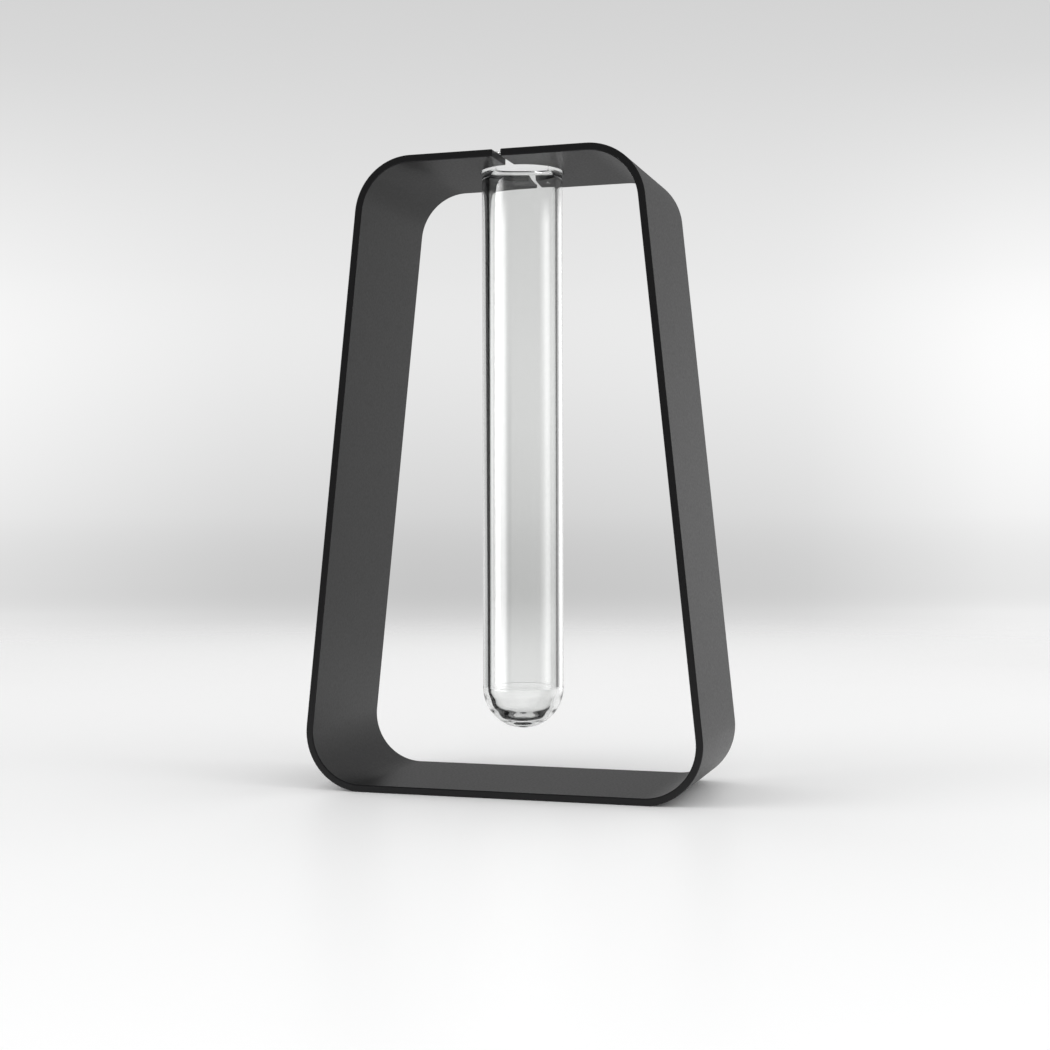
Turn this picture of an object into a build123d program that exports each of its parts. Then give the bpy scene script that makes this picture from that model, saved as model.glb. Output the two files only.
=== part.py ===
"""Test tube vase: a glass test tube hung by its lip in a stand bent from one flat steel strip.

The origin is on the floor, in the middle of the footprint. X runs across the stand, Y from its
front (-) to its back (+), and Z up. All sizes are in millimetres.
"""

from build123d import *
import os

os.makedirs("parts", exist_ok=True)

# Stand: a flat strip bent at four corners into a closed trapezoid
stand_height = 192.3
bottom_width = 127.4  # between the sharp corners that the two lower bends round off
top_width = 86.8  # the same between the two upper ones
strip_width = 52.3
strip_thickness = 2.2
bend_radius = 17.8  # to the outer face
end_gap = 2.5  # the slit between the strip's two ends, in the middle of the top
edge_chamfer = 0.3  # cut edges, eased before the strip is coated

# Test tube: round-bottomed, with a short rolled lip
tube_diameter = 25.0
tube_length = 176.5  # from the lowest point of the round bottom to the top of the lip
glass_wall = 2.2
bottom_wall = 2.9
lip_height = 2.2
lip_edge_radius = 1.0  # round the outside of the lip, below and above

# Fit of the tube in the stand
hole_clearance = 0.35  # all round the tube
lip_bearing = 0.2  # width of the flat ring under the lip that rests on the stand

# How far a cutting shape runs past what it cuts
overrun = 1.0

tube_radius = tube_diameter / 2
bore_radius = tube_radius - glass_wall
hole_radius = tube_radius + hole_clearance
bearing_radius = hole_radius + edge_chamfer + lip_bearing  # outside of the ring that rests
lip_radius = bearing_radius + lip_edge_radius
lip_top = stand_height + lip_height
round_centre = lip_top - tube_length + tube_radius  # height of the centre of the round bottom
inner_centre = round_centre + bottom_wall - glass_wall  # the same inside
mouth_radius = lip_height  # the bore stays straight up to where the lip begins to roll


# Stand
with BuildPart() as stand:
    with BuildSketch(Plane.XZ):
        with BuildLine():
            FilletPolyline(
                (-bottom_width / 2, 0),
                (bottom_width / 2, 0),
                (top_width / 2, stand_height),
                (-top_width / 2, stand_height),
                radius=bend_radius,
                close=True,
            )
        make_face()
        offset(amount=-strip_thickness, mode=Mode.SUBTRACT)
    extrude(amount=strip_width / 2, both=True)

    # The slit between the two ends, and the tube's hole, half of it in each end
    with BuildSketch(Plane.XY.offset(stand_height + overrun)):
        Rectangle(end_gap, strip_width + 2 * overrun)
        Circle(hole_radius)
    extrude(amount=-(strip_thickness + 2 * overrun), mode=Mode.SUBTRACT)

    # Every cut edge is eased: those of the ends and the hole, and the strip's two long sides
    end_edges = stand.edges(Select.LAST)
    long_edges = stand.faces().filter_by(Axis.Y).edges()
    chamfer(end_edges + long_edges, edge_chamfer)

stand.part.label = "stand"


# Test tube
with BuildPart() as test_tube:
    with BuildSketch(Plane.XZ):
        with BuildLine():
            # Up the outside, from the lowest point to the ring that rests on the stand
            outer_round = CenterArc((0, round_centre), tube_radius, -90, 90)
            outer_wall = Line(outer_round @ 1, (tube_radius, stand_height))
            bearing = Line(outer_wall @ 1, (bearing_radius, stand_height))
            # Round the lip to the mouth
            lip_under = TangentArc(
                bearing @ 1, (lip_radius, stand_height + lip_edge_radius), tangent=bearing % 1
            )
            lip_side = Line(lip_under @ 1, (lip_radius, lip_top - lip_edge_radius))
            lip_over = TangentArc(
                lip_side @ 1, (bearing_radius, lip_top), tangent=lip_side % 1
            )
            lip_flat = Line(lip_over @ 1, (bore_radius + mouth_radius, lip_top))
            mouth = TangentArc(
                lip_flat @ 1, (bore_radius, lip_top - mouth_radius), tangent=lip_flat % 1
            )
            # Down the bore to the inside of the round bottom
            inner_wall = Line(mouth @ 1, (bore_radius, inner_centre))
            inner_round = CenterArc((0, inner_centre), bore_radius, 0, -90)
            Line(inner_round @ 1, outer_round @ 0)
        make_face()
    revolve(axis=Axis.Z)

test_tube.part.label = "test_tube"


export_step(stand.part, "parts/stand.step")
export_step(test_tube.part, "parts/test_tube.step")
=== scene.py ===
"""Test tube vase: a glass test tube hung by its lip in a stand bent from one flat steel strip.

Lengths are in metres. X runs across the stand, Y from its front to its back, and Z up.
"""

import math

import bmesh
import bpy
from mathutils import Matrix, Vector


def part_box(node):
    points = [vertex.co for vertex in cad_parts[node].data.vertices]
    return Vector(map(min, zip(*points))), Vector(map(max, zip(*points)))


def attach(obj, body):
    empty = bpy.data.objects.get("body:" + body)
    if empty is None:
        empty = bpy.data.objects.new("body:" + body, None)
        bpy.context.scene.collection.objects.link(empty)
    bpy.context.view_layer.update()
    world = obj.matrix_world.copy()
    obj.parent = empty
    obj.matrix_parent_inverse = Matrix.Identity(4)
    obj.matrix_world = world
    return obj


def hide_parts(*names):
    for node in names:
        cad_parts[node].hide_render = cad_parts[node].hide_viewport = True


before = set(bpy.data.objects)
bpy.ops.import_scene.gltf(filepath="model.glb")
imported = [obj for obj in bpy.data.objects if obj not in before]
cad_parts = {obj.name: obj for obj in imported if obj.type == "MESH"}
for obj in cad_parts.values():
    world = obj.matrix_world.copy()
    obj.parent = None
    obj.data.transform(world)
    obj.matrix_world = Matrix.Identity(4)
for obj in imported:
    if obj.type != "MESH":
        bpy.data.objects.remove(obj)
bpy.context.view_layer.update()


# The camera stands in front of the vase, a little to its right and a little below half its height,
# so that it looks up at the top of the stand and down on its foot.
camera_place = (0.1552, -0.5005, 0.0840)
camera_turn = math.radians(17.16)
camera_dip = 0.0058  # radians below level
camera_roll = 0.0024  # radians
camera_lens = 57.86  # mm
camera_sensor = 36  # mm wide


def placed(name, data):
    """A new object in the scene, made of that data."""
    thing = bpy.data.objects.new(name, data)
    bpy.context.scene.collection.objects.link(thing)
    return thing


camera_data = bpy.data.cameras.new("camera")
camera_data.lens = camera_lens
camera_data.sensor_width = camera_sensor
camera = placed("camera", camera_data)
camera.location = camera_place
camera.rotation_euler = (math.pi / 2 - camera_dip, camera_roll, camera_turn)
bpy.context.scene.camera = camera
bpy.context.scene.view_settings.view_transform = "Standard"


# The studio: a pale floor that fades into a pale backdrop, and a tall soft box on each side of the
# vase. What glass and paint mirror is the room itself: dark in front, where the camera stands,
# pale behind, with a bright strip on the left and a narrow one behind on the right.
room_fill = 1.0  # the light that comes from all around

# The room's shades come in tables: by height, as (sine of the height, shade), and by bearing, as
# (degrees from +X, shade). Past the ends of a table its last shade goes on. The first are the
# backdrop's: its shade by height, and how much paler it gets towards its sides.
backdrop_shades = (
    (-0.11, 0.87), (-0.08, 0.80), (-0.056, 0.62), (-0.038, 0.575), (0, 0.66), (0.07, 0.78),
    (0.14, 0.80), (0.30, 0.65),
)
backdrop_sides = (
    (-180, 0.24), (-90, 0.3), (91, 0.36), (98, 0.07), (106, 0), (111, 0), (117, 0.05), (125, 0.24),
)
side_heights = ((-0.085, 0), (-0.055, 1.15), (0, 1.0), (0.25, 0))  # the share of it, by height

# What is mirrored: the room by bearing and by height, and the bright strips, in glass only
mirrored_room = (
    (-180, 0.5), (-115, 0.02), (-20, 0.02), (30, 0.3), (55, 1.0), (72, 1.2), (88, 1.1), (100, 0.85),
    (130, 0.75), (180, 0.5),
)
mirrored_heights = (
    (-1, 0.5), (-0.3, 0.6), (-0.08, 0.9), (0, 1.0), (0.1, 0.95), (0.2, 0.75), (0.35, 0.6), (0.6, 0.4),
    (1, 0.3),
)
matt_share = 0.72  # of the mirrored room, where paint mirrors it
mirrored_strips = (
    (-180, 0), (-138, 0), (-130, 5.0), (-125, 6.6), (-122, 4.2), (-119, 1.8), (-112, 0), (42, 0),
    (50, 1.0), (58, 3.2), (66, 3.5), (76, 0.4), (82, 0),
)
tall_strips = (
    (-180, 0), (-168, 0), (-162, 3.3), (-155, 9.0), (-147, 12.0), (-140, 9.0), (-134, 6.0), (-126, 0),
)
strip_top = 0.178  # sine of the height at which the strips end, other than the tall ones
strip_blur = 0.008  # to each side of that height

# What glass looks out on: the backdrop with pale strips behind the tube, darker in front above the
# horizon, then the room as its thick edges show it, and the ceiling overhead
through_strips = (
    (92.4, 0), (94.2, 0.28), (96.8, 0.42), (98.3, 0.40), (99.8, 0.25), (101.2, 0.08), (102.2, 0),
    (124, 0), (128, 0.3), (134, 0.25), (140, 0),
)
front_loss = ((-160, 0), (-140, 0.96), (-20, 0.96), (0, 0))
front_loss_start = 0.05  # sines of the heights between which it sets in
front_loss_full = 0.12
edge_room = (
    (-180, 0.6), (-160, 1.0), (-134, 1.0), (-118, 0.05), (-30, 0.02), (30, 0.05), (48, 0.05),
    (60, 0.2), (70, 0.5), (84, 0.75), (96, 0.8), (122, 0.85), (137, 0.55), (150, 0.5), (180, 0.6),
)
faces_through = 4  # surfaces that a ray crosses through the middle of the tube, and fewer at an edge
ceiling_start = 0.30  # sines of the heights between which the ceiling begins
ceiling_end = 0.45
ceiling_shade = 0.8


def links(tree, *pairs):
    """Joins (node, output) to (node, input) for each pair."""
    for (source, output), (target, socket) in pairs:
        tree.links.new(source.outputs[output], target.inputs[socket])


def feed(tree, node, *values):
    """Gives the node's inputs their values, as (input, value), where a value is a plain number or
    another node's (node, output)."""
    for socket, value in values:
        if isinstance(value, tuple):
            links(tree, (value, (node, socket)))
        else:
            node.inputs[socket].default_value = value


def maths(tree, operation, *values):
    """The output of a Math node with these values."""
    node = tree.nodes.new("ShaderNodeMath")
    node.operation = operation
    feed(tree, node, *enumerate(values))
    return node, 0


def chosen(tree, chooser, other, choice):
    """The output of a Mix node: the choice where the chooser is 1, and the other where it is 0."""
    node = tree.nodes.new("ShaderNodeMix")
    node.data_type = "FLOAT"
    feed(tree, node, ("Factor", chooser), ("A", other), ("B", choice))
    return node, 0


def graded(tree, value, start, end, first=0, last=1, curve="LINEAR"):
    """The output of a Map Range node: the first number up to the start, the last from the end."""
    node = tree.nodes.new("ShaderNodeMapRange")
    node.interpolation_type = curve
    feed(tree, node, ("Value", value), ("From Min", start), ("From Max", end))
    feed(tree, node, ("To Min", first), ("To Max", last))
    return node, "Result"


def ramp(tree, value, stops, curve="LINEAR"):
    """The output of a Color Ramp that runs through the stops (value, shade)."""
    start, end = stops[0][0], stops[-1][0]
    node = tree.nodes.new("ShaderNodeValToRGB")
    node.color_ramp.interpolation = curve
    elements = node.color_ramp.elements
    while len(elements) < len(stops):
        elements.new(0.5)
    for element, (place, shade) in zip(elements, stops):
        element.position = (place - start) / (end - start)
        element.color = (shade, shade, shade, 1)
    feed(tree, node, ("Fac", graded(tree, value, start, end)))
    return node, "Color"


world = bpy.data.worlds.new("room")
bpy.context.scene.world = world
world.use_nodes = True
tree = world.node_tree
tree.nodes.clear()
ray = tree.nodes.new("ShaderNodeLightPath")
coordinates = tree.nodes.new("ShaderNodeTexCoord")
split = tree.nodes.new("ShaderNodeSeparateXYZ")
links(tree, ((coordinates, "Generated"), (split, 0)))
height = (split, "Z")
bearing = maths(tree, "DEGREES", maths(tree, "ARCTAN2", (split, "Y"), (split, "X")))

by_height = ramp(tree, height, backdrop_shades, "CARDINAL")
sides = ramp(tree, bearing, backdrop_sides)
gain = maths(tree, "MULTIPLY", ramp(tree, height, side_heights), sides)
backdrop = maths(tree, "MULTIPLY_ADD", gain, by_height, by_height)

below_top = graded(tree, height, strip_top + strip_blur, strip_top - strip_blur)
tall = ramp(tree, bearing, tall_strips)
strips = maths(tree, "MULTIPLY_ADD", ramp(tree, bearing, mirrored_strips), below_top, tall)
dimmed = maths(
    tree, "MULTIPLY", ramp(tree, bearing, mirrored_room), ramp(tree, height, mirrored_heights)
)
in_glass = (ray, "Is Singular Ray")
share = maths(tree, "MULTIPLY_ADD", in_glass, 1 - matt_share, matt_share)
mirrored = maths(tree, "MULTIPLY_ADD", in_glass, strips, maths(tree, "MULTIPLY", dimmed, share))

behind = maths(tree, "MULTIPLY_ADD", ramp(tree, bearing, through_strips), below_top, backdrop)
above_horizon = graded(tree, height, front_loss_start, front_loss_full, 0, -1)
kept = maths(tree, "MULTIPLY_ADD", ramp(tree, bearing, front_loss), above_horizon, 1)
around = maths(tree, "MULTIPLY", behind, kept)
at_edge = maths(tree, "LESS_THAN", (ray, "Transmission Depth"), faces_through - 0.5)
beyond = chosen(tree, at_edge, around, ramp(tree, bearing, edge_room))
overhead = graded(tree, height, ceiling_start, ceiling_end)
through = chosen(tree, overhead, beyond, ceiling_shade)

# Each kind of ray takes its own shade of the room
shade = chosen(tree, (ray, "Is Glossy Ray"), room_fill, mirrored)
shade = chosen(tree, (ray, "Is Transmission Ray"), shade, through)
shade = chosen(tree, (ray, "Is Camera Ray"), shade, backdrop)
room = tree.nodes.new("ShaderNodeBackground")
room.inputs["Color"].default_value = (1, 1, 1, 1)
out = tree.nodes.new("ShaderNodeOutputWorld")
links(tree, (shade, (room, "Strength")), ((room, 0), (out, "Surface")))

# The soft boxes light the vase but are themselves out of sight
soft_boxes = {"soft_box_left": -148, "soft_box_right": -6}  # bearings
soft_box_power = 7.0  # watts
soft_box_height = 1.6
soft_box_width = 1.0
soft_box_distance = 1.6
soft_box_middle = 1.1  # height of its middle above the floor
for name, place in soft_boxes.items():
    light = bpy.data.lights.new(name, "AREA")
    light.shape = "RECTANGLE"
    light.size = soft_box_width
    light.size_y = soft_box_height
    light.energy = soft_box_power
    lamp = placed(name, light)
    angle = math.radians(place)
    lamp.location = (
        soft_box_distance * math.cos(angle),
        soft_box_distance * math.sin(angle),
        soft_box_middle,
    )
    lamp.rotation_euler = (math.atan2(soft_box_distance, soft_box_middle), 0, angle + math.pi / 2)
    lamp.visible_camera = False
    lamp.visible_glossy = False
    lamp.visible_transmission = False

# The floor turns see-through with its distance from the vase, and the backdrop takes over
floor_radius = 3.0
floor_sides = 96
fade_start = 0.3  # distances between which it fades
fade_end = 0.9
mirrored_reach = 0.4  # of those distances, where it is mirrored or seen through glass
floor_colour = (0.94, 0.94, 0.94, 1)
floor_roughness = 0.38
floor_specular = 0.35
floor_mesh = bpy.data.meshes.new("floor")
shape = bmesh.new()
bmesh.ops.create_circle(shape, cap_ends=True, segments=floor_sides, radius=floor_radius)
shape.to_mesh(floor_mesh)
shape.free()
floor = placed("floor", floor_mesh)

floor_material = bpy.data.materials.new("pale_floor")
floor_material.use_nodes = True
tree = floor_material.node_tree
tree.nodes.clear()
ray = tree.nodes.new("ShaderNodeLightPath")
coordinates = tree.nodes.new("ShaderNodeTexCoord")
distance = tree.nodes.new("ShaderNodeVectorMath")
distance.operation = "LENGTH"
nearer = maths(tree, "MULTIPLY_ADD", (ray, "Is Glossy Ray"), mirrored_reach - 1, 1)
reach = maths(tree, "DIVIDE", (distance, "Value"), nearer)
surface = tree.nodes.new("ShaderNodeBsdfPrincipled")
surface.inputs["Base Color"].default_value = floor_colour
surface.inputs["Roughness"].default_value = floor_roughness
surface.inputs["Specular IOR Level"].default_value = floor_specular
clear = tree.nodes.new("ShaderNodeBsdfTransparent")
mix = tree.nodes.new("ShaderNodeMixShader")
out = tree.nodes.new("ShaderNodeOutputMaterial")
links(
    tree,
    ((coordinates, "Object"), (distance, 0)),
    (graded(tree, reach, fade_start, fade_end, curve="SMOOTHSTEP"), (mix, "Fac")),
    ((surface, 0), (mix, 1)),
    ((clear, 0), (mix, 2)),
    ((mix, 0), (out, "Surface")),
)
floor_mesh.materials.append(floor_material)


# The stand: one strip of sheet steel, laser cut with half of the tube's hole in each end, eased
# along its edges, bent at four corners and powder coated matt black. Its two ends face each other
# across a narrow slit in the middle of the top.
stand_low, stand_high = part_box("stand")
stand_height = stand_high.z
strip_width = stand_high.y - stand_low.y
strip_thickness = 0.0022
bottom_width = 0.1274  # between the sharp corners that the lower bends round off
top_width = 0.0868  # the same between the upper ones
bend_radius = 0.0178  # to the outer face
end_gap = 0.0025
hole_radius = 0.01285
edge_radius = 0.00035
edge_steps = 5  # in a quarter turn of an eased edge
hole_steps = 64
blank_step = 0.001  # along the strip
bend_steps = 48
blank_weld = 0.0000001  # distance under which two points are one

lean = math.atan((bottom_width - top_width) / 2 / stand_height)
neutral_radius = bend_radius - strip_thickness / 2


def neutral_reach(z):
    """Half the width of the strip's middle surface at height z, between its sharp corners."""
    return bottom_width / 2 - z * math.tan(lean) - strip_thickness / 2 / math.cos(lean)


# The middle of the strip's thickness, as (x, z), from one end of the strip over the right leg and
# the floor to the left leg and the other end
low_z = strip_thickness / 2
high_z = stand_height - strip_thickness / 2
strip_path = [
    (end_gap / 2, high_z),
    (neutral_reach(high_z), high_z),
    (neutral_reach(low_z), low_z),
    (-neutral_reach(low_z), low_z),
    (-neutral_reach(high_z), high_z),
    (-end_gap / 2, high_z),
]
# Each bend saves what the rounded corner is shorter than the sharp one
blank_length = sum(math.dist(a, b) for a, b in zip(strip_path, strip_path[1:]))
for turn in (math.pi / 2 - lean, math.pi / 2 + lean):
    blank_length -= 2 * neutral_radius * (2 * math.tan(turn / 2) - turn)


def blank_outline():
    """The flat blank's outline, drawn in by the edge radius, as points with their outward
    directions. At a corner the point stays and the direction turns, which rounds the corner."""
    half_length = blank_length / 2 - edge_radius
    half_width = strip_width / 2 - edge_radius
    hole_place = blank_length / 2 + end_gap / 2
    notch_radius = hole_radius + edge_radius
    notch_start = math.acos((end_gap / 2 + edge_radius) / notch_radius)
    notch_depth = notch_radius * math.sin(notch_start)
    first_column = hole_place - notch_radius - blank_step
    columns = round(2 * first_column / blank_step)
    points = []

    def corner(x, y, start, end):
        """One point whose direction turns from the start to the end."""
        for i in range(edge_steps + 1):
            angle = start + (end - start) * i / edge_steps
            points.append((x, y, math.cos(angle), math.sin(angle)))

    def half():
        """Along the front edge and round the end at +x."""
        for i in range(columns + 1):
            points.append((first_column * (2 * i / columns - 1), -half_width, 0, -1))
        corner(half_length, -half_width, -math.pi / 2, 0)
        corner(half_length, -notch_depth, 0, notch_start)
        for i in range(1, hole_steps):
            angle = notch_start - 2 * notch_start * i / hole_steps
            x = hole_place - notch_radius * math.cos(angle)
            y = -notch_radius * math.sin(angle)
            points.append((x, y, math.cos(angle), math.sin(angle)))
        corner(half_length, notch_depth, -notch_start, 0)
        corner(half_length, half_width, 0, math.pi / 2)

    half()
    first = list(points)
    points.extend((-x, -y, -dx, -dy) for x, y, dx, dy in first)
    return points, columns


# The outline at each level, from the top face over the eased edges to the bottom face
outline, columns = blank_outline()
levels = []
for i in range(edge_steps + 1):
    angle = math.pi / 2 * i / edge_steps
    up = strip_thickness / 2 - edge_radius * (1 - math.cos(angle))
    levels.append((edge_radius * math.sin(angle), up))
levels += [(out_by, -up) for out_by, up in reversed(levels)]

shape = bmesh.new()
rings = []
for out_by, up in levels:
    rings.append([shape.verts.new((x + dx * out_by, y + dy * out_by, up)) for x, y, dx, dy in outline])
count = len(outline)
for upper, lower in zip(rings, rings[1:]):
    for i in range(count):
        j = (i + 1) % count
        shape.faces.new((upper[i], lower[i], lower[j], upper[j]))
# The two flat faces: quads from the front edge to the back one, and one face at each notched end
half_count = count // 2
for ring, flip in ((rings[0], False), (rings[-1], True)):
    for i in range(columns):
        front, back = i, half_count + columns - i
        face = [ring[front], ring[front + 1], ring[back - 1], ring[back]]
        shape.faces.new(face[::-1] if flip else face)
    for start in (columns, half_count + columns):
        face = [ring[k % count] for k in range(start, start + half_count - columns + 1)]
        shape.faces.new(face[::-1] if flip else face)
bmesh.ops.remove_doubles(shape, verts=shape.verts, dist=blank_weld)
bmesh.ops.translate(shape, verts=shape.verts, vec=(blank_length / 2, 0, 0))
blank_mesh = bpy.data.meshes.new("blank")
shape.to_mesh(blank_mesh)
shape.free()

path_data = bpy.data.curves.new("strip_path", "CURVE")
path_data.dimensions = "3D"
spline = path_data.splines.new("POLY")
spline.points.add(len(strip_path) - 1)
for point, (x, z) in zip(spline.points, strip_path):
    point.co = (x, 0, z, 1)
path = placed("strip_path", path_data)


def node_tree(name, inputs):
    """A Geometry Nodes tree with a geometry input and output and the named inputs."""
    group = bpy.data.node_groups.new(name, "GeometryNodeTree")
    group.interface.new_socket("Geometry", in_out="INPUT", socket_type="NodeSocketGeometry")
    for label, kind in inputs.items():
        group.interface.new_socket(label, in_out="INPUT", socket_type="NodeSocket" + kind)
    group.interface.new_socket("Geometry", in_out="OUTPUT", socket_type="NodeSocketGeometry")
    return group, group.nodes.new("NodeGroupInput"), group.nodes.new("NodeGroupOutput")


def made_by(group, source, name, **values):
    """The plain mesh object that the tree makes of the source object, with the named inputs."""
    maker = placed(name + "_maker", source)
    modifier = maker.modifiers.new(group.name, "NODES")
    modifier.node_group = group
    for item in group.interface.items_tree:
        if item.in_out == "INPUT" and item.name in values:
            modifier[item.identifier] = values[item.name]
    graph = bpy.context.evaluated_depsgraph_get()
    mesh = bpy.data.meshes.new_from_object(maker.evaluated_get(graph), depsgraph=graph)
    maker.modifiers.remove(modifier)
    bpy.data.objects.remove(maker)
    mesh.name = name
    return placed(name, mesh)


# A surface that has set from a melt is never quite flat: powder coat keeps a fine orange peel, and
# drawn glass a slow waviness that runs along the tube
melt_surface = bpy.data.node_groups.new("melt_surface", "ShaderNodeTree")
for label in ("Waves per Metre", "Waves Upward", "Detail"):
    melt_surface.interface.new_socket(label, in_out="INPUT", socket_type="NodeSocketFloat")
melt_surface.interface.new_socket("Height", in_out="OUTPUT", socket_type="NodeSocketFloat")
given = melt_surface.nodes.new("NodeGroupInput")
made = melt_surface.nodes.new("NodeGroupOutput")
coordinates = melt_surface.nodes.new("ShaderNodeTexCoord")
stretch = melt_surface.nodes.new("ShaderNodeCombineXYZ")
stretched = melt_surface.nodes.new("ShaderNodeVectorMath")
stretched.operation = "MULTIPLY"
waves = melt_surface.nodes.new("ShaderNodeTexNoise")
waves.inputs["Scale"].default_value = 1.0
links(
    melt_surface,
    ((given, "Waves per Metre"), (stretch, "X")),
    ((given, "Waves per Metre"), (stretch, "Y")),
    ((given, "Waves Upward"), (stretch, "Z")),
    ((coordinates, "Object"), (stretched, 0)),
    ((stretch, 0), (stretched, 1)),
    ((stretched, 0), (waves, "Vector")),
    ((given, "Detail"), (waves, "Detail")),
    ((waves, "Fac"), (made, "Height")),
)


def melted(tree, surface, across, upward, detail, depth):
    """Lays the melt surface on a material as a bump of that depth, and returns its node."""
    melt = tree.nodes.new("ShaderNodeGroup")
    melt.node_tree = melt_surface
    feed(tree, melt, ("Waves per Metre", across), ("Waves Upward", upward), ("Detail", detail))
    bump = tree.nodes.new("ShaderNodeBump")
    feed(tree, bump, ("Strength", 1), ("Distance", depth), ("Height", (melt, "Height")))
    feed(tree, surface, ("Normal", (bump, 0)))
    return melt


paint_colour = (0.0105, 0.0105, 0.011, 1)
paint_specular = 0.28
paint_roughness = (0.35, 0.43)  # in the hollows and on the crests of the orange peel
peel_waves = 1400  # in a metre
peel_detail = 2.0
peel_depth = 0.000012
peel_heights = (0.3, 0.7)  # shares of the depth at which the two roughnesses are reached
powder_coat = bpy.data.materials.new("matt_black_powder_coat")
powder_coat.use_nodes = True
tree = powder_coat.node_tree
surface = tree.nodes["Principled BSDF"]
surface.inputs["Base Color"].default_value = paint_colour
surface.inputs["Specular IOR Level"].default_value = paint_specular
peel = melted(tree, surface, peel_waves, peel_waves, peel_detail, peel_depth)
feed(tree, surface, ("Roughness", graded(tree, (peel, "Height"), *peel_heights, *paint_roughness)))

# The flat blank is laid along the path: its X runs along it, and its Z stands out from it
bend_strip, given, made = node_tree(
    "bend_strip",
    {"Path": "Object", "Bend Radius": "Float", "Bend Steps": "Int", "Material": "Material"},
)
nodes = bend_strip.nodes
info = nodes.new("GeometryNodeObjectInfo")
fillet = nodes.new("GeometryNodeFilletCurve")
fillet.mode = "POLY"
position = nodes.new("GeometryNodeInputPosition")
flat = nodes.new("ShaderNodeSeparateXYZ")
sample = nodes.new("GeometryNodeSampleCurve")
sample.mode = "LENGTH"
across = nodes.new("ShaderNodeCombineXYZ")
outward = nodes.new("ShaderNodeVectorMath")
outward.operation = "CROSS_PRODUCT"
outward.inputs[1].default_value = (0, 1, 0)  # along the strip's width
unit = nodes.new("ShaderNodeVectorMath")
unit.operation = "NORMALIZE"
rise = nodes.new("ShaderNodeVectorMath")
rise.operation = "SCALE"
sideways = nodes.new("ShaderNodeVectorMath")
sideways.operation = "ADD"
bent = nodes.new("ShaderNodeVectorMath")
bent.operation = "ADD"
place = nodes.new("GeometryNodeSetPosition")
smooth = nodes.new("GeometryNodeSetShadeSmooth")
real = nodes.new("GeometryNodeRealizeInstances")
paint = nodes.new("GeometryNodeSetMaterial")
links(
    bend_strip,
    ((given, "Path"), (info, "Object")),
    ((info, "Geometry"), (fillet, "Curve")),
    ((given, "Bend Radius"), (fillet, "Radius")),
    ((given, "Bend Steps"), (fillet, "Count")),
    ((fillet, "Curve"), (sample, "Curves")),
    ((position, 0), (flat, 0)),
    ((flat, "X"), (sample, "Length")),
    ((flat, "Y"), (across, "Y")),
    ((sample, "Tangent"), (outward, 0)),
    ((outward, 0), (unit, 0)),
    ((unit, 0), (rise, 0)),
    ((flat, "Z"), (rise, "Scale")),
    ((sample, "Position"), (sideways, 0)),
    ((across, 0), (sideways, 1)),
    ((sideways, 0), (bent, 0)),
    ((rise, 0), (bent, 1)),
    ((given, "Geometry"), (place, "Geometry")),
    ((bent, 0), (place, "Position")),
    ((place, 0), (smooth, "Geometry")),
    ((smooth, 0), (real, "Geometry")),
    ((real, 0), (paint, "Geometry")),
    ((given, "Material"), (paint, "Material")),
    ((paint, 0), (made, "Geometry")),
)
values = {
    "Path": path, "Bend Radius": neutral_radius, "Bend Steps": bend_steps, "Material": powder_coat,
}
strip = made_by(bend_strip, blank_mesh, "bent_strip", **values)
bpy.data.objects.remove(path)
weigh = strip.modifiers.new("weighted_normals", "WEIGHTED_NORMAL")
weigh.mode = "FACE_AREA"
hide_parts("stand")
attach(strip, "stand")


# The test tube: one piece of clear glass, closed to a round bottom in the flame, which has left
# faint rings in it. Its short lip rests on the stand around the hole and carries the tube, which
# hangs loose. The flame that rolled the lip has thickened the wall, which swells into the mouth.
tube_low, tube_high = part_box("test_tube")
tube_radius = 0.0125
glass_wall = 0.0022
bottom_wall = 0.0029
lip_edge_radius = 0.001
lip_root_radius = 0.0003
mouth_radius = 0.0012
mouth_bead = 0.001  # how far the wall swells into the mouth
bead_length = 0.0063
flame_rings = 4  # from the side of the round bottom to its lowest point
ring_depth = 0.00006  # outside
inner_ring_depth = 0.00015
seam_depth = 0.00002  # of the groove where the round bottom begins
seam_height = 0.0006
arc_steps = 12
round_steps = 96
wall_steps = 40
steps_around = 192
pole_radius = 0.000001  # of the circle that the profile is turned round
pole_weld = 0.000005  # distance under which two points are one
glass_colour = (0.96, 0.965, 0.96, 1)
glass_index = 1.52
glass_waves = 220  # in a metre round the tube
glass_waves_upward = 30  # in a metre along it
glass_detail = 0
glass_depth = 0.000006

lip_top = tube_high.z
lip_edge_centre = tube_high.x - lip_edge_radius
round_centre = tube_low.z + tube_radius
inner_centre = round_centre + bottom_wall - glass_wall
bore_radius = tube_radius - glass_wall
mouth_bore_radius = bore_radius - mouth_bead


def arc(x, z, radius, start, end, steps):
    """Points (x, z) on an arc about a centre, with its start and end in degrees."""
    turns = [math.radians(start + (end - start) * i / steps) for i in range(steps + 1)]
    return [(x + radius * math.cos(t), z + radius * math.sin(t)) for t in turns]


def ringed_round(z, radius, start, end, depth):
    """The same for a quarter of the round bottom about (0, z), with its rings, which are deepest
    at the lowest point. Angles are below the horizontal, so they are negative."""
    points = []
    for i in range(round_steps + 1):
        turn = math.radians(start + (end - start) * i / round_steps)
        way_down = turn / math.radians(-90)
        wave = (1 - math.cos(2 * math.pi * flame_rings * way_down)) / 2
        reach = radius - depth * wave * math.sqrt(way_down)
        points.append((reach * math.cos(turn), z + reach * math.sin(turn)))
    return points


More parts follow.
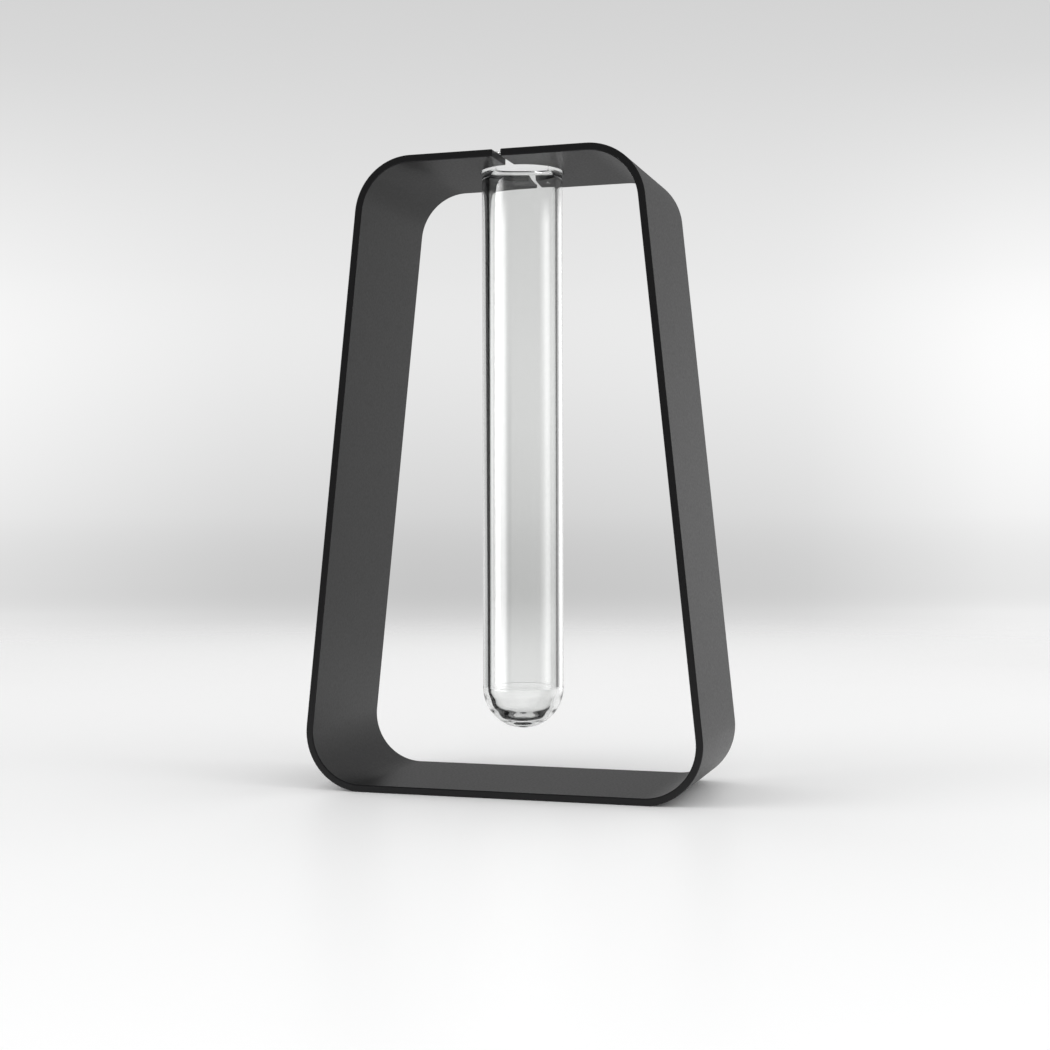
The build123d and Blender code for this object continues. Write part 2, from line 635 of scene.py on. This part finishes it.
def straight(x, start, end, steps):
    """Points (x, z) between two heights, without its two ends."""
    return [(x, start + (end - start) * i / steps) for i in range(1, steps)]


# The wall draws back from the mouth to the bore in two arcs of equal radius
bead_top = lip_top - mouth_radius
bead_bottom = bead_top - bead_length
bead_radius = (bead_length**2 + mouth_bead**2) / 4 / mouth_bead
bead_turn = math.degrees(math.asin(bead_length / 2 / bead_radius))
bead_centre = mouth_bore_radius + bead_radius
wall_end = stand_height - lip_root_radius

# Up the outside from the lowest point, round the lip, and down the bore
profile = ringed_round(round_centre, tube_radius, -90, 0, ring_depth)
for i in range(1, 2 * arc_steps + 1):
    inward = seam_depth * (1 - math.cos(math.pi * i / arc_steps)) / 2
    profile.append((tube_radius - inward, round_centre + seam_height * i / 2 / arc_steps))
profile += straight(tube_radius, round_centre + seam_height, wall_end, wall_steps)
profile += arc(tube_radius + lip_root_radius, wall_end, lip_root_radius, 180, 90, arc_steps)
profile += arc(lip_edge_centre, stand_height + lip_edge_radius, lip_edge_radius, -90, 0, arc_steps)
profile += arc(lip_edge_centre, lip_top - lip_edge_radius, lip_edge_radius, 0, 90, arc_steps)
profile += arc(mouth_bore_radius + mouth_radius, bead_top, mouth_radius, 90, 180, arc_steps)
profile += arc(bead_centre, bead_top, bead_radius, 180, 180 + bead_turn, arc_steps)[1:]
profile += arc(bore_radius - bead_radius, bead_bottom, bead_radius, bead_turn, 0, arc_steps)[1:]
profile += straight(bore_radius, bead_bottom, inner_centre, wall_steps)
profile += ringed_round(inner_centre, bore_radius, 0, -90, -inner_ring_depth)

profile_data = bpy.data.curves.new("tube_profile", "CURVE")
profile_data.dimensions = "3D"
spline = profile_data.splines.new("POLY")
spline.points.add(len(profile) - 1)
# Swept round a circle, a profile's Y points down, so the heights are turned over
for point, (x, z) in zip(spline.points, reversed(profile)):
    point.co = (x, -z, 0, 1)

glass = bpy.data.materials.new("clear_glass")
glass.use_nodes = True
tree = glass.node_tree
surface = tree.nodes["Principled BSDF"]
surface.inputs["Base Color"].default_value = glass_colour
surface.inputs["Roughness"].default_value = 0
surface.inputs["IOR"].default_value = glass_index
surface.inputs["Transmission Weight"].default_value = 1
melted(tree, surface, glass_waves, glass_waves_upward, glass_detail, glass_depth)

# The profile is turned round the tube's axis, and its two ends are closed to points
blow_tube, given, made = node_tree("blow_tube", {"Steps Around": "Int", "Material": "Material"})
nodes = blow_tube.nodes
circle = nodes.new("GeometryNodeCurvePrimitiveCircle")
circle.inputs["Radius"].default_value = pole_radius
turn = nodes.new("GeometryNodeCurveToMesh")
weld = nodes.new("GeometryNodeMergeByDistance")
weld.inputs["Distance"].default_value = pole_weld
smooth = nodes.new("GeometryNodeSetShadeSmooth")
real = nodes.new("GeometryNodeRealizeInstances")
paint = nodes.new("GeometryNodeSetMaterial")
links(
    blow_tube,
    ((given, "Steps Around"), (circle, "Resolution")),
    ((circle, "Curve"), (turn, "Curve")),
    ((given, "Geometry"), (turn, "Profile Curve")),
    ((turn, "Mesh"), (weld, "Geometry")),
    ((weld, "Geometry"), (smooth, "Geometry")),
    ((smooth, 0), (real, "Geometry")),
    ((real, 0), (paint, "Geometry")),
    ((given, "Material"), (paint, "Material")),
    ((paint, 0), (made, "Geometry")),
)
values = {"Steps Around": steps_around, "Material": glass}
tube = made_by(blow_tube, profile_data, "glass_tube", **values)
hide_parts("test_tube")
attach(tube, "tube")
